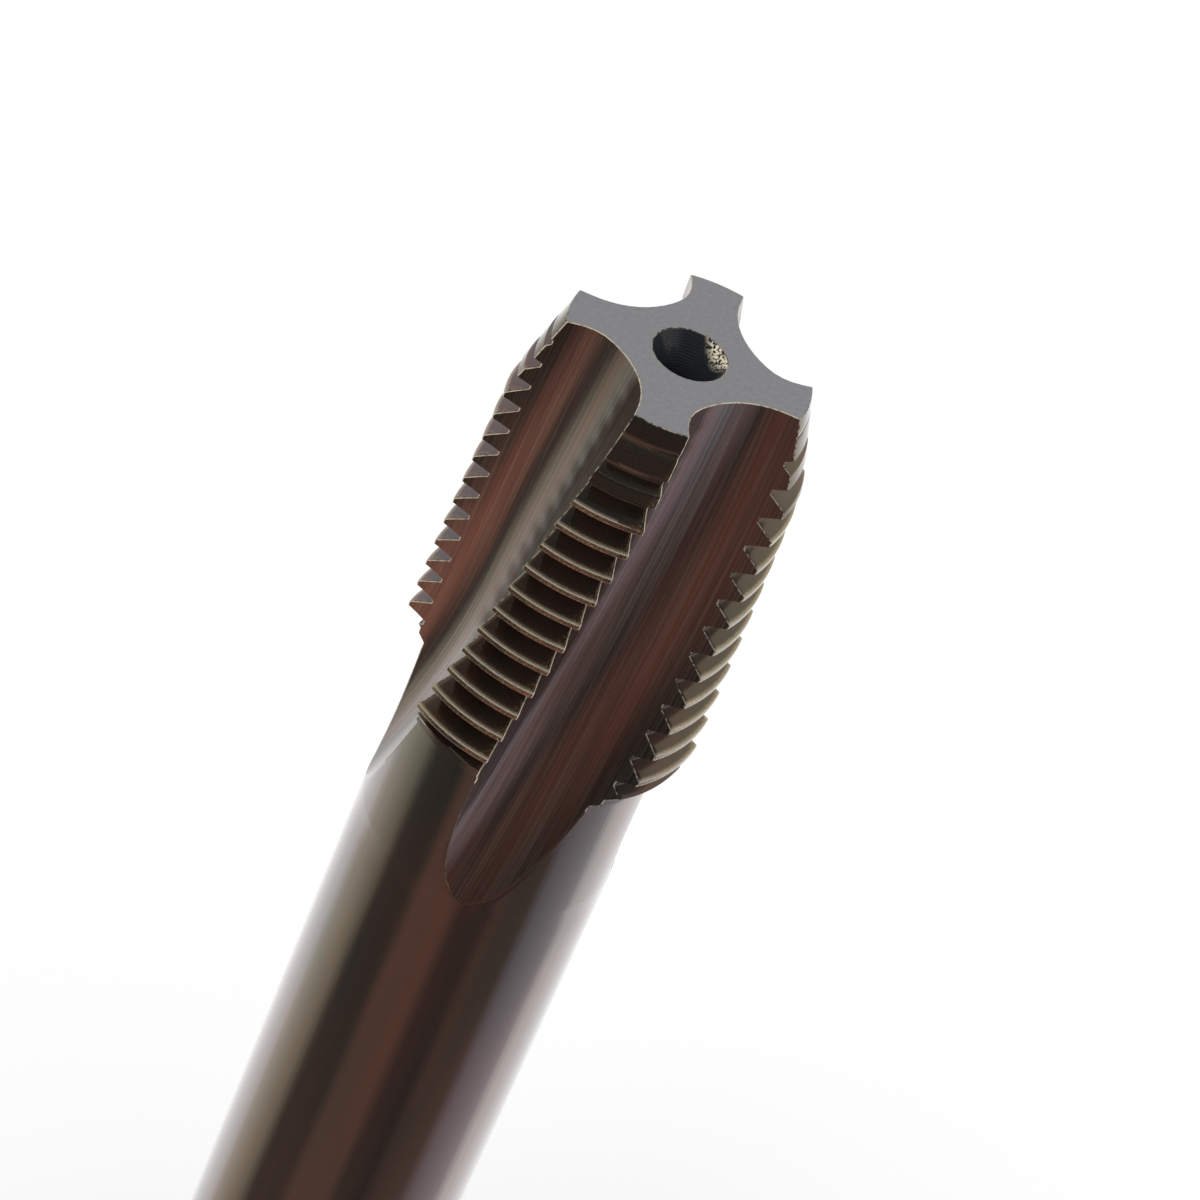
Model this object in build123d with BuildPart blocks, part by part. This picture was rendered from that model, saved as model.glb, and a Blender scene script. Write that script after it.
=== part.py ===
"""Taper pipe tap, Rc 1/4-19: one solid of ground high speed steel.

The tap stands on the square end of its shank and cuts with its upper end.
+Z runs along its axis to the cutting end, and the origin is the centre of the
shank's end face. A depth is measured from the front face down.
"""

import os
from math import cos, radians, sin, sqrt, tan

from build123d import *

# Thread: 55 degree taper pipe form, 19 turns to the inch, right hand
PITCH = 25.4 / 19
FLANK_ANGLE = 55 / 2
TAPER = 1 / 32  # radius gained for each mm behind the front face
TOOTH_DEPTH = 0.640327 * PITCH
FLAT = PITCH / 6  # width of the flat at each crest and root
CREST_RADIUS = 6.07  # crest cone, carried forward to the front face
THREAD_LENGTH = 18.3
GROOVE_OVERCUT = 0.12  # height of the groove's tool above the crests
GROOVE_SECTIONS = 4
GROOVE_BEHIND = 42  # angles that each groove's tool covers, from the land's
GROOVE_AHEAD = 9  # cutting edge back past its heel and forward into the flute

# Body
LENGTH = 67.0
FACE_RADIUS = 5.05  # front face, where the cutting chamfer begins
CHAMFER_LENGTH = 4.3  # about three threads
NECK_RADIUS = 5.85  # level with the last thread's root
NECK_DEPTH = 19.4
SHANK_RADIUS = 5.5
SHANK_DEPTH = 19.75
SHANK_CHAMFER = 0.6

# Driving square, milled across the end of the shank
SQUARE_WIDTH = 9.0
SQUARE_LENGTH = 12.0
SQUARE_RUNOUT = 2.0  # radius left by the milling cutter's corner

# Centre holes, by which the tap is ground between centres
CENTRE_ANGLE = 60
FRONT_CENTRE_RADIUS = 1.56
FRONT_PILOT_RADIUS = 0.65
SHANK_CENTRE_RADIUS = 2.1
SHANK_PILOT_RADIUS = 1.0
PILOT_DEPTH = 1.2  # below the small end of the cone

# Flutes: right-hand spiral, a rake face curling into a bottom and a back of four arcs
FLUTE_COUNT = 4
FLUTE_LEAD = 237.0  # height for one whole turn
FLUTE_ANGLE = -76.0  # first cutting edge at the front face
RAKE_RADIUS = 5.4  # curl of the rake face, from its foot to the cutting edge
RAKE_FOOT = 4.4  # distance of the foot from the axis, at the front face
HOOK_END = (-1.22, 0.49)  # ends of the three arcs, from the foot of the rake face
BOTTOM_END = (-2.16, 1.84)
BACK_START = (-2.36, 3.93)  # from here the flute's back opens outwards
BACK_END = (-1.15, 6.89)
FLUTE_REACH = 8.0  # radius at which the flute's tool is closed
WEB_TAPER = 0.0327  # depth lost for each mm behind the front face
WHEEL_EXIT_DEPTH = 13.0  # where the grinding wheel begins to lift out
WHEEL_RADIUS = 48.0
LIFT_ANGLE = 24.1  # direction in which it lifts, from the rake face's foot
FLUTE_FORE = 1.0  # start of the flute's tool above the front face
FLUTE_LENGTH = 27.6  # end of the flute's tool behind the front face
FLUTE_SECTIONS = 6


def crest_radius(depth):
    """Radius over the threads at a depth behind the front face."""
    return CREST_RADIUS + TAPER * depth


def land_angle(land, depth):
    """Angle of a land's cutting edge at a depth, on the flutes' spiral."""
    return FLUTE_ANGLE + 360 / FLUTE_COUNT * land - 360 * depth / FLUTE_LEAD


def flute_lift(depth):
    """How far the flute has drawn out of the body at a depth."""
    lift = WEB_TAPER * depth
    if depth > WHEEL_EXIT_DEPTH:
        lift += (depth - WHEEL_EXIT_DEPTH) ** 2 / (2 * WHEEL_RADIUS)
    return lift


def flute_plane(depth):
    """Plane across the axis at a depth, turned with the first flute."""
    turn = radians(land_angle(0, depth))
    return Plane(
        origin=(0, 0, LENGTH - depth),
        x_dir=(cos(turn), sin(turn), 0),
        z_dir=(0, 0, 1),
    )


def groove_depth(turns, angle):
    """Depth of the thread's groove at an angle, on its right-hand helix."""
    return PITCH * (turns + 0.5 - angle / 360)


def groove_plane(turns, angle):
    """Plane through the axis at an angle, centred on the root of the groove."""
    depth = groove_depth(turns, angle)
    radius = crest_radius(depth) - TOOTH_DEPTH
    turn = radians(angle)
    return Plane(
        origin=(radius * cos(turn), radius * sin(turn), LENGTH - depth),
        x_dir=(cos(turn), sin(turn), 0),
        z_dir=(sin(turn), -cos(turn), 0),
    )


def cut_groove(land, turns):
    """Tool for one turn's groove across one land, lofted along the helix."""
    edge_angle = land_angle(land, groove_depth(turns, land_angle(land, 0)))
    start = edge_angle - GROOVE_BEHIND
    step = (GROOVE_BEHIND + GROOVE_AHEAD) / (GROOVE_SECTIONS - 1)
    tool_height = TOOTH_DEPTH + GROOVE_OVERCUT
    half_mouth = FLAT / 2 + tool_height * tan(radians(FLANK_ANGLE))
    with BuildPart() as tool:
        for section in range(GROOVE_SECTIONS):
            with BuildSketch(groove_plane(turns, start + step * section)):
                Polygon(
                    (0, -FLAT / 2),
                    (tool_height, -half_mouth),
                    (tool_height, half_mouth),
                    (0, FLAT / 2),
                    align=None,
                )
        loft()
    return tool.part


# Grooves whose root lies in the body, for every land
grooves = [
    cut_groove(land, turns)
    for land in range(FLUTE_COUNT)
    for turns in range(int(NECK_DEPTH / PITCH) + 1)
    if FLAT < groove_depth(turns, land_angle(land, 0)) < NECK_DEPTH
]

# Flute tool: lofted through sections that turn and draw out together
lift_turn = radians(LIFT_ANGLE)
with BuildPart() as flute:
    for section in range(FLUTE_SECTIONS):
        run = (FLUTE_FORE + FLUTE_LENGTH) * section / (FLUTE_SECTIONS - 1)
        flute_depth = run - FLUTE_FORE
        lift = flute_lift(flute_depth)
        foot = Vector(RAKE_FOOT + lift * cos(lift_turn), lift * sin(lift_turn))
        reach = FLUTE_REACH - foot.X
        rise = RAKE_RADIUS - sqrt(RAKE_RADIUS**2 - reach**2)
        with BuildSketch(flute_plane(flute_depth)):
            with BuildLine():
                rake = RadiusArc(foot, (FLUTE_REACH, foot.Y + rise), -RAKE_RADIUS)
                hook = TangentArc(foot, foot + HOOK_END, tangent=(-1, 0))
                bottom = TangentArc(hook @ 1, foot + BOTTOM_END, tangent=hook % 1)
                rise_arc = TangentArc(bottom @ 1, foot + BACK_START, tangent=bottom % 1)
                back = TangentArc(rise_arc @ 1, foot + BACK_END, tangent=rise_arc % 1)
                Polyline(back @ 1, (FLUTE_REACH, (back @ 1).Y), rake @ 1)
            make_face()
    loft()

# The tap: a turned blank, fluted, threaded and squared
cone_slope = tan(radians(CENTRE_ANGLE / 2))
front_cone = (FRONT_CENTRE_RADIUS - FRONT_PILOT_RADIUS) / cone_slope
shank_cone = (SHANK_CENTRE_RADIUS - SHANK_PILOT_RADIUS) / cone_slope
last_crest = crest_radius(THREAD_LENGTH)
square_side = SQUARE_WIDTH / 2
square_clear = square_side + SQUARE_RUNOUT

with BuildPart() as tap:
    with BuildSketch(Plane.XZ):
        with BuildLine():
            Polyline(
                (0, LENGTH - front_cone - PILOT_DEPTH),
                (FRONT_PILOT_RADIUS, LENGTH - front_cone - PILOT_DEPTH),
                (FRONT_PILOT_RADIUS, LENGTH - front_cone),
                (FRONT_CENTRE_RADIUS, LENGTH),
                (FACE_RADIUS, LENGTH),
                (crest_radius(CHAMFER_LENGTH), LENGTH - CHAMFER_LENGTH),
                (last_crest, LENGTH - THREAD_LENGTH),
                (NECK_RADIUS, LENGTH - THREAD_LENGTH - (last_crest - NECK_RADIUS)),
                (NECK_RADIUS, LENGTH - NECK_DEPTH),
                (SHANK_RADIUS, LENGTH - SHANK_DEPTH),
                (SHANK_RADIUS, SHANK_CHAMFER),
                (SHANK_RADIUS - SHANK_CHAMFER, 0),
                (SHANK_CENTRE_RADIUS, 0),
                (SHANK_PILOT_RADIUS, shank_cone),
                (SHANK_PILOT_RADIUS, shank_cone + PILOT_DEPTH),
                (0, shank_cone + PILOT_DEPTH),
                close=True,
            )
        make_face()
    revolve(axis=Axis.Z)

    with PolarLocations(0, FLUTE_COUNT):
        add(flute.part, mode=Mode.SUBTRACT)
    add(grooves, mode=Mode.SUBTRACT)

    for side in range(4):
        out = radians(90 * side)
        across = Plane(
            origin=(0, 0, 0),
            x_dir=(cos(out), sin(out), 0),
            z_dir=(sin(out), -cos(out), 0),
        )
        with BuildSketch(across):
            with BuildLine():
                RadiusArc(
                    (square_side, SQUARE_LENGTH - SQUARE_RUNOUT),
                    (square_clear, SQUARE_LENGTH),
                    SQUARE_RUNOUT,
                )
                Polyline(
                    (square_clear, SQUARE_LENGTH),
                    (square_clear, -SHANK_CHAMFER),
                    (square_side, -SHANK_CHAMFER),
                    (square_side, SQUARE_LENGTH - SQUARE_RUNOUT),
                )
            make_face()
        extrude(amount=SHANK_RADIUS, both=True, mode=Mode.SUBTRACT)

tap.part.label = "tap"

os.makedirs("parts", exist_ok=True)
export_step(tap.part, "parts/tap.step")
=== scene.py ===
"""Taper pipe tap with four spiral flutes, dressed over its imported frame.

The tap stands on the square end of its shank, with +Z along its axis to the
cutting end. Sizes are in millimetres until a mesh or a material is made, and a
depth is measured from the front face down.
"""

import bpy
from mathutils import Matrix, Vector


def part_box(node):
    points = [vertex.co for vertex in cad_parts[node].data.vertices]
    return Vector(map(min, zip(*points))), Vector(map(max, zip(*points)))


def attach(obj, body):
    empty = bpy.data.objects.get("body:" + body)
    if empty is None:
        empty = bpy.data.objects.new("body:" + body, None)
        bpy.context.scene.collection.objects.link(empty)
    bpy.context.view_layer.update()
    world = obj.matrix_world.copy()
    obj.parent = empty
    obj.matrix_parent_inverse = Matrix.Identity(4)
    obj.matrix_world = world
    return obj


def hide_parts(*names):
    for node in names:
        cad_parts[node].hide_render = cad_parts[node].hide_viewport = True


bl_info = {
    "name": "Taper Pipe Tap",
    "version": (1, 0, 0),
    "blender": (4, 5, 0),
    "location": "3D Viewport > Sidebar > Tap",
    "description": "Spiral fluted taper pipe tap and its studio",
    "category": "Object",
}

from math import acos, cos, radians, sin, sqrt, tan

import bmesh
import bpy
import numpy as np
from bpy.props import FloatProperty, FloatVectorProperty, PointerProperty
from mathutils import Matrix, Vector

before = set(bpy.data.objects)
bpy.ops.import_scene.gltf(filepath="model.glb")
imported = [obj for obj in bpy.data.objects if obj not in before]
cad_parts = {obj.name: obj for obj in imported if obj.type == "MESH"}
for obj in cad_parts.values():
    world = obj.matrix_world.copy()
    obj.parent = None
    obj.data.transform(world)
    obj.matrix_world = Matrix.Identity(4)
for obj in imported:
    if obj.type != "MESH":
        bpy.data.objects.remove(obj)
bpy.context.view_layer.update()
LENGTH = 1000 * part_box("tap")[1][2]  # overall length, mm

MM = 0.001

# Thread and blank, as the solid has them
PITCH = 25.4 / 19
FLANK_ANGLE = radians(55 / 2)
TAPER = 1 / 32
TOOTH_DEPTH = 0.640327 * PITCH
TOOTH_CORNER = 0.05  # worn round of the corners at each crest and root
RIM = 0.03  # bevel round the front face
SHEEN_LINE_WIDTH = 0.022  # half the width of the painted light line at a crest's corner, laid as bare metal
CREST_RADIUS = 6.07
BLANK_DEPTHS = (0, 4.3, 18.3, 19.092, 19.4, 19.75, 100)
BLANK_RADII = (5.05, 6.204375, 6.641875, 5.85, 5.85, 5.5, 5.5)
NECK_START = 19.092
SHANK_START = 19.75
SHANK_RADIUS = 5.5

# Flutes
FLUTES = 4
FLUTE_LEAD = 237.0
FLUTE_ANGLE = -76.0
RAKE_RADIUS = 5.4
RAKE_FOOT = 4.4
HOOK_END = (-1.22, 0.49)
BOTTOM_END = (-2.16, 1.84)
BACK_START = (-2.36, 3.93)
BACK_END = (-1.15, 6.89)
WEB_TAPER = 0.0327
WHEEL_EXIT_DEPTH = 13.0
WHEEL_RADIUS = 48.0
LIFT_TURN = radians(24.1)

# Driving square and centre holes
SQUARE_SIDE = 4.5
SQUARE_LENGTH = 12.0
SQUARE_RUNOUT = 2.0
SHANK_CHAMFER = 0.6
CONE_SLOPE = tan(radians(30))
FRONT_CENTRE, FRONT_PILOT = 1.56, 0.65
SHANK_CENTRE, SHANK_PILOT = 2.1, 1.0
PILOT_DEPTH = 1.2
HOLE_RIM = 0.02

# Mesh density
ROWS_PER_PITCH = 28
FLAT_STEPS, CORNER_STEPS = 7, 5  # half a flat, and the round corner between two
LAND_STEPS = 2 * FLAT_STEPS + CORNER_STEPS
SIDE_STEPS, BOTTOM_STEPS = 5, 14  # each side of a flute, and its bottom
FLUTE_STEPS = 2 * SIDE_STEPS + BOTTOM_STEPS
FACE_LEAN = 22.0  # angle by which the face's strips lean clear of the hooked rake
BARE_LAND = 9.0  # distance behind a cutting edge, where there is none

# Oxide skin: magnetite mirrors more at a low angle than lacquer does
COAT_WEIGHT, COAT_IOR = 1.0, 2.05
COAT_METAL = 0.93  # the skin is a semi-metal
SHEEN_LINE_METAL = 0.45  # and the painted light lines on the crests, laid as bare metal, take light from every side
SMOOTH_ANGLE = radians(32)  # edges sharper than this keep a crease

COAT, FLUTE, LEAD_EDGE, HEEL_EDGE, FACE, CENTRE = range(6)


# Shape


def tooth_half(across):
    """Depth below the crest, from the distance to its middle: flat, corner, flank."""
    set_back = TOOTH_CORNER * tan((np.pi / 2 - FLANK_ANGLE) / 2)
    flat = PITCH / 12 - set_back
    corner_end = PITCH / 12 + set_back * sin(FLANK_ANGLE)
    into = np.clip(across - flat, 0, corner_end - flat)
    arc = TOOTH_CORNER - np.sqrt(TOOTH_CORNER**2 - into**2)
    return np.where(across < corner_end, arc, (across - PITCH / 12) / tan(FLANK_ANGLE))


def tooth(phase):
    """Depth below the crest cone, from turns along the thread's helix.

    The half near the crest and the half near the root are one form, turned over:
    a sixth of a pitch flat, a small round corner and a straight 27.5 degree flank.
    """
    across = np.abs(phase - np.round(phase)) * PITCH
    root = TOOTH_DEPTH - tooth_half(PITCH / 2 - across)
    return np.where(across < PITCH / 4, tooth_half(across), root)


def pitch_steps():
    """Turns from the crest of the rows in one pitch, closer at the round corners."""
    set_back = TOOTH_CORNER * tan((np.pi / 2 - FLANK_ANGLE) / 2)
    flat = PITCH / 12 - set_back
    corner_end = PITCH / 12 + set_back * sin(FLANK_ANGLE)
    near = [0, *np.linspace(flat, corner_end, 4), *np.linspace(corner_end, PITCH / 4, 4)[1:]]
    far = PITCH / 2 - np.array(near[-2::-1])
    half = np.concatenate([near, far]) / PITCH
    return np.concatenate([half[:-1], 1 - half[:0:-1]])


PITCH_STEPS = pitch_steps()


def row_phase(row):
    """Turns along the helix at a row of the thread, counted over all pitches."""
    return row // ROWS_PER_PITCH + PITCH_STEPS[row % ROWS_PER_PITCH]


def crest_cone(depth):
    """Radius over the threads: a straight cone, 1 in 16 on diameter."""
    return CREST_RADIUS + TAPER * depth


def body_radius(depth, angle):
    """The smaller of the turned blank and the crest cone less the tooth."""
    phase = depth / PITCH + angle / 360
    blank = np.interp(depth, BLANK_DEPTHS, BLANK_RADII)
    return np.minimum(blank, crest_cone(depth) - tooth(phase))


def edge_angle(land, depth):
    """Angle of a land's cutting edge: a right-hand spiral, linear in depth."""
    return FLUTE_ANGLE + 90 * land - 360 * depth / FLUTE_LEAD


def lift(depth):
    """How far the flute has drawn out: a straight taper, then the wheel's arc."""
    out = np.maximum(depth - WHEEL_EXIT_DEPTH, 0)
    return WEB_TAPER * depth + out**2 / (2 * WHEEL_RADIUS)


def arc_points(start, tangent, end, steps):
    """Arc from start to end that leaves start along tangent, and its last tangent.

    The centre is on start's normal, at the chord squared over twice the chord's
    reach along that normal.
    """
    normal = np.array([-tangent[1], tangent[0]])
    chord = end - start
    radius = chord @ chord / (2 * chord @ normal)
    centre = start + radius * normal
    first, last = start - centre, end - centre
    turn = np.arctan2(first[0] * last[1] - first[1] * last[0], first @ last)
    angle = np.linspace(0, turn, steps)[:, None]
    points = centre + first * np.cos(angle) + np.array([-first[1], first[0]]) * np.sin(angle)
    last_tangent = np.array([-last[1], last[0]]) * np.sign(turn) / np.hypot(*last)
    return points, last_tangent


def flute_section():
    """Section of a flute from its rake face round to its back, and arc lengths.

    An arc that curls in from the cutting edge to the foot, and four arcs each
    tangent to the last. X runs from the axis through the foot.
    """
    reach = np.linspace(3.6, 0, 400)[:-1]
    rake = np.stack([reach, RAKE_RADIUS - np.sqrt(RAKE_RADIUS**2 - reach**2)], 1)
    points = [rake]
    end, tangent = np.zeros(2), np.array([-1.0, 0])
    for stop in (HOOK_END, BOTTOM_END, BACK_START, BACK_END):
        arc, tangent = arc_points(end, tangent, np.array(stop), 300)
        points.append(arc if stop == HOOK_END else arc[1:])
        end = arc[-1]
    points = np.concatenate(points)
    steps = np.hypot(*np.diff(points, axis=0).T)
    return points + [RAKE_FOOT, 0], np.concatenate([[0], np.cumsum(steps)])


SECTION, RUN = flute_section()


def section_point(run, depth):
    """Point of the flute's section in its own turned plane, drawn out by the lift."""
    out = lift(depth)
    x = np.interp(run, RUN, SECTION[:, 0]) + out * cos(LIFT_TURN)
    return x, np.interp(run, RUN, SECTION[:, 1]) + out * sin(LIFT_TURN)


def flute_low(depth):
    """Place and radius of the flute's lowest point: the least distance from the axis."""
    out = lift(depth)[..., None]
    radii = np.hypot(SECTION[:, 0] + out * cos(LIFT_TURN), SECTION[:, 1] + out * sin(LIFT_TURN))
    return RUN[radii.argmin(-1)], radii.min(-1)


def run_at_radius(radius, depth, back):
    """Place on the rake side or the back side where the flute has a radius.

    Halves the range between the lowest point and the open end, forty times.
    """
    low = flute_low(depth)[0]
    high = np.full_like(low, RUN[-1] if back else RUN[0])
    for _ in range(40):
        middle = (low + high) / 2
        inside = np.hypot(*section_point(middle, depth)) < radius
        low, high = np.where(inside, middle, low), np.where(inside, high, middle)
    return (low + high) / 2


def corner(land, back, phase=None, depth=None):
    """Where a flute meets the body: its run along the section, angle, depth, radius.

    A row follows either the thread's helix, at one phase, or one depth. The angle,
    the depth and the radius settle on each other in a few rounds.
    """
    flute = land - 1 if back else land
    level = np.zeros_like(phase) if depth is None else depth
    angle = edge_angle(flute, level) + (60 if back else 0)
    for _ in range(12):
        if depth is None:
            level = np.clip(PITCH * (phase - angle / 360), RIM, NECK_START)
        radius = np.maximum(body_radius(level, angle), flute_low(level)[1])
        run = run_at_radius(radius, level, back)
        x, y = section_point(run, level)
        angle = edge_angle(flute, level) + np.degrees(np.arctan2(y, x))
    return run, angle, level, radius


def blend(start, end, share):
    """Values on a straight line between two columns, one column for each share."""
    return start[:, None] + (end - start)[:, None] * share


def wear_and_sheen_lines(depth, phase):
    """Shares of the painted lines at a crest's front and back corners, and on the chamfer's.

    The front line is a painted highlight and the back line a painted copper reflection,
    both laid as bare worn metal. Each is a bell about its corner, a twelfth of a pitch
    from the crest's middle. On the chamfer the corner is where the turned blank meets
    the tooth.
    """
    across = (phase - np.round(phase)) * PITCH
    cut = crest_cone(depth) - np.interp(depth, BLANK_DEPTHS, BLANK_RADII)
    full = cut < 0.02
    front = np.where(full, 0.9 * np.exp(-(((across + PITCH / 12) / SHEEN_LINE_WIDTH) ** 2)), 0)
    back = np.where(full, np.exp(-(((across - PITCH / 12) / SHEEN_LINE_WIDTH) ** 2)), 0)
    meeting = 0.3 * np.exp(-(((cut - tooth(phase)) / SHEEN_LINE_WIDTH) ** 2))
    meeting = meeting * (depth < BLANK_DEPTHS[1])
    return front, np.maximum(back, np.where(full, 0, meeting))


def fluted_rows(rows=None, depths=None, edge=0.04):
    """Points of the fluted body, one row for each row of the thread or depth.

    Each row goes once round: across a land at the body's radius, then down the rake
    face, round the flute's bottom and up its back to the next land. Between a land
    and a flute is a narrow bevel of width edge.
    """
    parts = []
    quarter = ROWS_PER_PITCH // FLUTES
    for land in range(FLUTES):
        here = None if rows is None else row_phase(rows + quarter * land)
        after = None if rows is None else row_phase(rows + quarter * (land + 1))
        _, heel, heel_depth, heel_radius = corner(land, True, here, depths)
        _, lead, lead_depth, lead_radius = corner(land, False, here, depths)
        _, _, next_depth, next_radius = corner(land + 1, True, after, depths)
        _, low_radius = flute_low(lead_depth)
        bevel = np.minimum(edge, 0.3 * (lead_radius - low_radius))
        next_low = flute_low(next_depth)[1]
        next_bevel = np.minimum(edge, 0.3 * (next_radius - next_low))
        heel_bevel = np.minimum(edge, 0.3 * (heel_radius - flute_low(heel_depth)[1]))
        angle = blend(
            heel + np.degrees(heel_bevel / heel_radius),
            lead - np.degrees(bevel / lead_radius),
            np.linspace(0, 1, LAND_STEPS + 1),
        )
        if rows is None:
            depth = np.broadcast_to(depths[:, None], angle.shape)
        else:
            depth = np.clip(PITCH * (here[:, None] - angle / 360), RIM, NECK_START)
        radius = body_radius(depth, angle)
        turn = np.radians(angle)
        parts.append(
            (
                radius * np.cos(turn),
                radius * np.sin(turn),
                depth,
                turn * SHANK_RADIUS,
                1 - (crest_cone(depth) - radius) / TOOTH_DEPTH,
                np.radians(lead[:, None] - angle) * radius,
                *wear_and_sheen_lines(depth, depth / PITCH + angle / 360),
            )
        )
        # the flute: sides between its corners and 80 % of its own depth, then the bottom
        root = np.minimum(
            np.interp(lead_depth, BLANK_DEPTHS, BLANK_RADII), crest_cone(lead_depth) - TOOTH_DEPTH
        )
        side = low_radius + 0.8 * np.maximum(root - low_radius, 0)
        side = np.minimum(side, lead_radius - bevel)
        stops = [
            run_at_radius(lead_radius - bevel, lead_depth, False),
            run_at_radius(side, lead_depth, False),
            run_at_radius(np.minimum(side, next_radius - next_bevel), next_depth, True),
            run_at_radius(next_radius - next_bevel, next_depth, True),
        ]
        runs = np.concatenate(
            [
                blend(stops[0], stops[1], np.arange(SIDE_STEPS) / SIDE_STEPS),
                blend(stops[1], stops[2], np.arange(BOTTOM_STEPS) / BOTTOM_STEPS),
                blend(stops[2], stops[3], np.linspace(0, 1, SIDE_STEPS + 1)),
            ],
            1,
        )
        depth = blend(lead_depth, next_depth, np.linspace(0, 1, runs.shape[1]))
        x, y = section_point(runs, depth)
        turn = np.radians(edge_angle(land, depth))
        none = np.zeros_like(x)
        parts.append(
            (
                x * np.cos(turn) - y * np.sin(turn),
                x * np.sin(turn) + y * np.cos(turn),
                depth,
                runs,
                1 - (crest_cone(depth) - np.hypot(x, y)) / TOOTH_DEPTH,
                none - 1,
                none,
                none,
            )
        )
    return [np.concatenate([part[i] for part in parts], 1) for i in range(8)]


def column_kinds(land, lead, flute, heel):
    """Finish of the strip after each column: a land, its lead, a flute and a heel."""
    one = [land] * LAND_STEPS + [lead] + [flute] * FLUTE_STEPS + [heel]
    return np.array(one * FLUTES)


def flute_end():
    """Depth at which the flute's lowest point reaches the shank's radius."""
    low, high = SHANK_START, 30.0
    for _ in range(40):
        middle = (low + high) / 2
        if flute_low(np.array([middle]))[1][0] < SHANK_RADIUS:
            low = middle
        else:
            high = middle
    return low


def square_radius(height, angle):
    """Radius of the shank at a height: the round, its chamfer and the four flats.

    A flat is its distance from the axis over the cosine of the angle from its
    middle, and runs out upwards on the cutter's round corner.
    """
    above = np.clip(height - (SQUARE_LENGTH - SQUARE_RUNOUT), 0, SQUARE_RUNOUT)
    side = SQUARE_SIDE + SQUARE_RUNOUT - np.sqrt(SQUARE_RUNOUT**2 - above**2)
    off_middle = (angle + 45) % 90 - 45
    round_part = np.minimum(SHANK_RADIUS, SHANK_RADIUS - SHANK_CHAMFER + height)
    return np.minimum(round_part, side / np.cos(np.radians(off_middle)))


def shank_rows(first):
    """Rows from the flutes' end down to the shank's end face.

    Columns lie between the flutes' ends at first, and slide round to the square's
    corners. The columns of each flute close up on its end.
    """
    corner_angle = np.degrees(acos(SQUARE_SIDE / SHANK_RADIUS))
    quarter = np.concatenate(
        [
            np.linspace(0, corner_angle, FLAT_STEPS + 1)[:-1],
            np.linspace(corner_angle, 90 - corner_angle, CORNER_STEPS + 1)[:-1],
            np.linspace(90 - corner_angle, 90, FLAT_STEPS + 1),
        ]
    )
    side = SHANK_RADIUS * np.cos(np.radians(quarter[FLAT_STEPS::-1]))
    runout = np.sqrt(np.maximum(SQUARE_RUNOUT**2 - (SQUARE_SIDE + SQUARE_RUNOUT - side) ** 2, 0))
    runout = (SQUARE_LENGTH - SQUARE_RUNOUT + runout)[::-1]
    top = LENGTH - flute_end()
    heights = np.concatenate(
        [
            np.linspace(top, 12.2, 24)[1:],
            runout,
            np.linspace(SQUARE_LENGTH - SQUARE_RUNOUT, SHANK_CHAMFER, 8)[1:],
            [0.3, 0.0],
        ]
    )
    aligned = np.round(first / 90) * 90
    settle = np.clip((top - heights) / 6, 0, 1)
    rows = []
    for land in range(FLUTES):
        spread = np.linspace(first, first + 90, LAND_STEPS + 1) + 90 * land
        target = aligned + quarter + 90 * land
        rows.append(spread + (target - spread) * settle[:, None])
        rows.append(np.repeat(rows[-1][:, -1:], FLUTE_STEPS + 1, 1))
    angle = np.concatenate(rows, 1)
    radius = square_radius(heights[:, None], angle)
    turn = np.radians(angle)
    depth = np.broadcast_to(LENGTH - heights[:, None], angle.shape)
    none = np.zeros_like(angle)
    return [
        radius * np.cos(turn),
        radius * np.sin(turn),
        depth,
        turn * SHANK_RADIUS,
        none,
        none + BARE_LAND,
        none,
        none,
    ]


def face_turns(x, y):
    """Angles of the strips at a centre hole that end at the fluted outline's points.

    Each land's strips lean back from its lead, clear of the hooked rake.
    """
    turn = np.unwrap(np.arctan2(y, x))
    width = len(x) // FLUTES
    angles = []
    for land in range(FLUTES):
        heel, lead = turn[land * width], turn[land * width + LAND_STEPS]
        following = turn[(land + 1) * width] if land < FLUTES - 1 else turn[0] + 2 * np.pi
        lead = lead - radians(FACE_LEAN)
        angles.append(np.linspace(heel, lead, LAND_STEPS + 2)[:-1])
        share = np.linspace(0, 1, FLUTE_STEPS + 2)[:-1]
        share = share**2 * (3 - 2 * share)
        angles.append(lead + (following - lead) * share)
    return np.concatenate(angles)


def centre_rows(turn, profile):
    """Rings of a turned hole: its profile's radius and depth, at the strips' angles."""
    radius, depth = np.array(profile).T[:, :, None]
    ones = np.ones_like(turn)
    none = 0 * radius * ones
    return [
        radius * np.cos(turn),
        radius * np.sin(turn),
        depth * ones,
        turn * radius,
        none,
        none + BARE_LAND,
        none,
        none,
    ]


def inset(x, y, width):
    """A closed outline moved inwards by a width, along its own normals."""
    along_x, along_y = np.roll(x, -1) - np.roll(x, 1), np.roll(y, -1) - np.roll(y, 1)
    size = np.hypot(along_x, along_y)
    return x - width * along_y / size, y + width * along_x / size


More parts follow.
